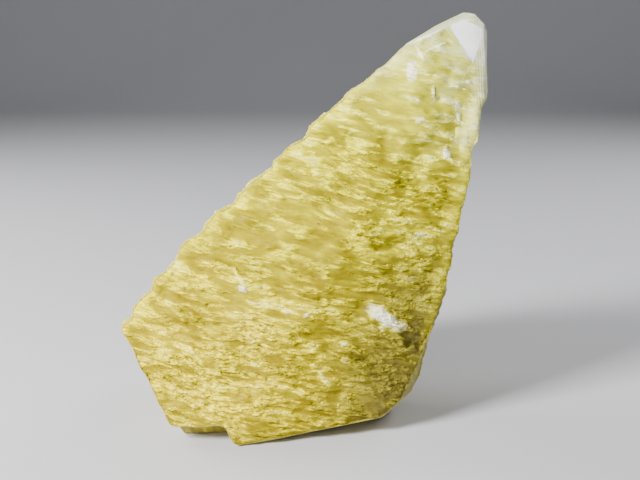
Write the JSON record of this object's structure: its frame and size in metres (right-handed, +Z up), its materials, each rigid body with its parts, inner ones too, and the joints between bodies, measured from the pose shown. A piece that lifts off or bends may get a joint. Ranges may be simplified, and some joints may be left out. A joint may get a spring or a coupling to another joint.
{
  "type": "calcite crystal",
  "caption": "Steep dog-tooth calcite crystal, leaning, overgrown by tile-like small crystals and resting on a cleaved base.",
  "frame": {"origin": "middle of the bounding box's underside, on the plane of the cleaved base that the crystal rests on", "axes": "+Z up, +X to the right as seen from the front with the tip leaning that way, +Y to the back"},
  "size_m": [0.0924, 0.066, 0.1065],
  "materials": {
    "honey_calcite": "translucent honey-yellow crystal, frosted by small crystal faces, clear at the tip"
  },
  "bodies": {
    "root": {"calcite_crystal": "honey_calcite"}
  },
  "joints": []
}
